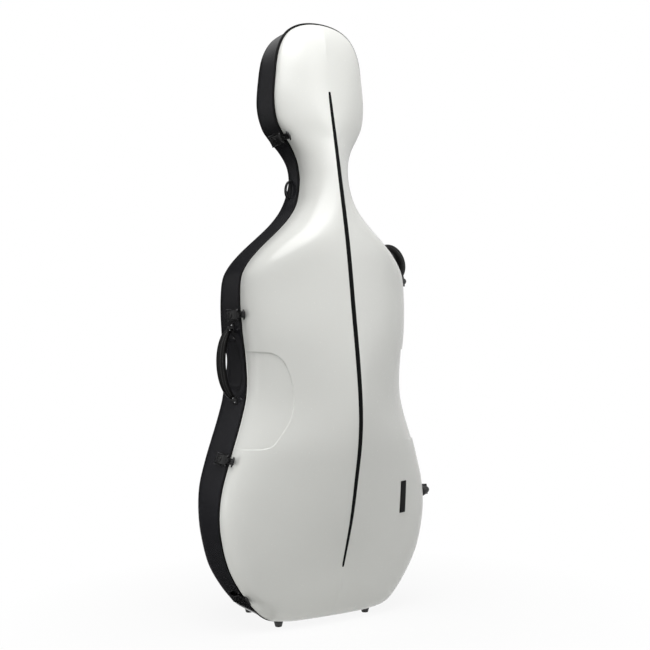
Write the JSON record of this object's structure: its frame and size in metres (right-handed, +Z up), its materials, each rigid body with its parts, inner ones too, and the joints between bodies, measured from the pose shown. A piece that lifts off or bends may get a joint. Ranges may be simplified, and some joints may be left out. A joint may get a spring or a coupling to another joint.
{
  "type": "cello hard case",
  "caption": "Hard shell case for a full-size cello, with a hinged gloss white lid on a gloss black base, draw latches, carrying handles and a padded inside.",
  "frame": {"origin": "centre of the bounding box footprint at floor level, the case standing upright on its feet", "axes": "+Z up along the case; the lid faces -Y and the base +Y; the hinges are on the +X side and the latches on the -X side"},
  "size_m": [0.533, 0.3518, 1.331],
  "materials": {
    "lid_gloss": "high gloss white",
    "base_gloss": "high gloss black",
    "rim_trim": "satin black edge frame",
    "stripe_black": "gloss black inlay",
    "plate_black": "plain black plate, no lettering",
    "lining_velour": "dark grey velour over foam",
    "pad_velour": "dark grey velour cushions",
    "foot_rubber": "matt black rubber",
    "latch_body_metal": "satin grey metal",
    "latch_black_metal": "satin black metal",
    "pin_steel": "bright steel pins",
    "hinge_black_metal": "satin black metal",
    "bracket_metal": "gloss black metal",
    "grip_leather": "stitched black leather over a core",
    "eye_plastic": "black moulded plastic",
    "strap_webbing": "black webbing",
    "clip_plastic": "black moulded plastic",
    "holder_plastic": "black moulded plastic"
  },
  "bodies": {
    "base": {"base_shell": "base_gloss", "base_lining": "lining_velour", "rim_frame": "rim_trim", "foot_front_left": "foot_rubber", "foot_front_right": "foot_rubber", "foot_back_left": "foot_rubber", "foot_back_right": "foot_rubber", "latch_plate_bottom": "latch_body_metal", "latch_pin_bottom": "pin_steel", "latch_plate_lower": "latch_body_metal", "latch_pin_lower": "pin_steel", "latch_plate_upper": "latch_body_metal", "latch_pin_upper": "pin_steel", "latch_plate_neck": "latch_body_metal", "latch_pin_neck": "pin_steel", "hinge_base_leaf_lower": "hinge_black_metal", "hinge_pin_lower": "pin_steel", "hinge_base_leaf_upper": "hinge_black_metal", "hinge_pin_upper": "pin_steel", "waist_handle_bracket_high": "bracket_metal", "waist_handle_bracket_low": "bracket_metal", "shoulder_handle_bracket_low": "bracket_metal", "shoulder_handle_bracket_high": "bracket_metal", "strap_eye_neck_left": "eye_plastic", "strap_eye_back_left": "eye_plastic", "strap_eye_neck_right": "eye_plastic", "strap_eye_back_right": "eye_plastic", "shoulder_pad_left": "pad_velour", "lower_pad_left": "pad_velour", "shoulder_pad_right": "pad_velour", "lower_pad_right": "pad_velour", "end_pad": "pad_velour", "upper_rest": "pad_velour", "lower_rest": "pad_velour", "neck_cradle": "pad_velour", "neck_strap": "strap_webbing"},
    "lid": {"lid_shell": "lid_gloss", "lid_lining": "lining_velour", "lid_stripe": "stripe_black", "lid_plate": "plate_black", "latch_stud_bottom": "latch_black_metal", "latch_stud_lower": "latch_black_metal", "latch_stud_upper": "latch_black_metal", "latch_stud_neck": "latch_black_metal", "hinge_lid_leaf_lower": "hinge_black_metal", "hinge_lid_leaf_upper": "hinge_black_metal", "bow_tip_holder_left": "holder_plastic", "bow_frog_holder_left": "holder_plastic", "bow_tip_holder_right": "holder_plastic", "bow_frog_holder_right": "holder_plastic"},
    "latch_bottom": {"latch_lever_bottom": "latch_black_metal"},
    "latch_lower": {"latch_lever_lower": "latch_black_metal"},
    "latch_upper": {"latch_lever_upper": "latch_black_metal"},
    "latch_neck": {"latch_lever_neck": "latch_black_metal"},
    "waist_handle": {"waist_handle_grip": "grip_leather"},
    "shoulder_handle": {"shoulder_handle_grip": "grip_leather"},
    "bow_clip_left": {"bow_clip_left": "clip_plastic"},
    "bow_clip_right": {"bow_clip_right": "clip_plastic"}
  },
  "joints": [
    {"name": "lid_open", "type": "hinge", "parent": "base", "child": "lid", "pos_m": [0.22975, -0.01523, 0.51377], "axis": [-0.1155, 0, 0.9933], "range_deg": [0, 105]},
    {"name": "latch_bottom_open", "type": "hinge", "parent": "base", "child": "latch_bottom", "pos_m": [-0.216, 0.03277, 0.07364], "axis": [0.5807, 0, -0.8141], "range_deg": [0, 100]},
    {"name": "latch_lower_open", "type": "hinge", "parent": "base", "child": "latch_lower", "pos_m": [-0.24766, 0.03277, 0.37237], "axis": [-0.3158, 0, -0.9488], "range_deg": [0, 100]},
    {"name": "latch_upper_open", "type": "hinge", "parent": "base", "child": "latch_upper", "pos_m": [-0.21758, 0.03277, 0.68146], "axis": [0.0724, 0, -0.9974], "range_deg": [0, 100]},
    {"name": "latch_neck_open", "type": "hinge", "parent": "base", "child": "latch_neck", "pos_m": [-0.10355, 0.03277, 1.07005], "axis": [0.5267, 0, -0.8501], "range_deg": [0, 100]},
    {"name": "waist_handle_swing", "type": "hinge", "parent": "base", "child": "waist_handle", "pos_m": [-0.21346, 0.02977, 0.57564], "axis": [0.0399, 0, -0.9992], "range_deg": [-60, 60]},
    {"name": "shoulder_handle_swing", "type": "hinge", "parent": "base", "child": "shoulder_handle", "pos_m": [0.17872, 0.01477, 0.7921], "axis": [-0.5075, 0, 0.8617], "range_deg": [-50, 50]},
    {"name": "bow_clip_left_turn", "type": "hinge", "parent": "lid", "child": "bow_clip_left", "pos_m": [-0.09689, -0.1028, 0.336], "axis": [0, 1, 0], "range_deg": [-90, 90]},
    {"name": "bow_clip_right_turn", "type": "hinge", "parent": "lid", "child": "bow_clip_right", "pos_m": [0.07861, -0.1028, 0.336], "axis": [0, 1, 0], "range_deg": [-90, 90]}
  ]
}
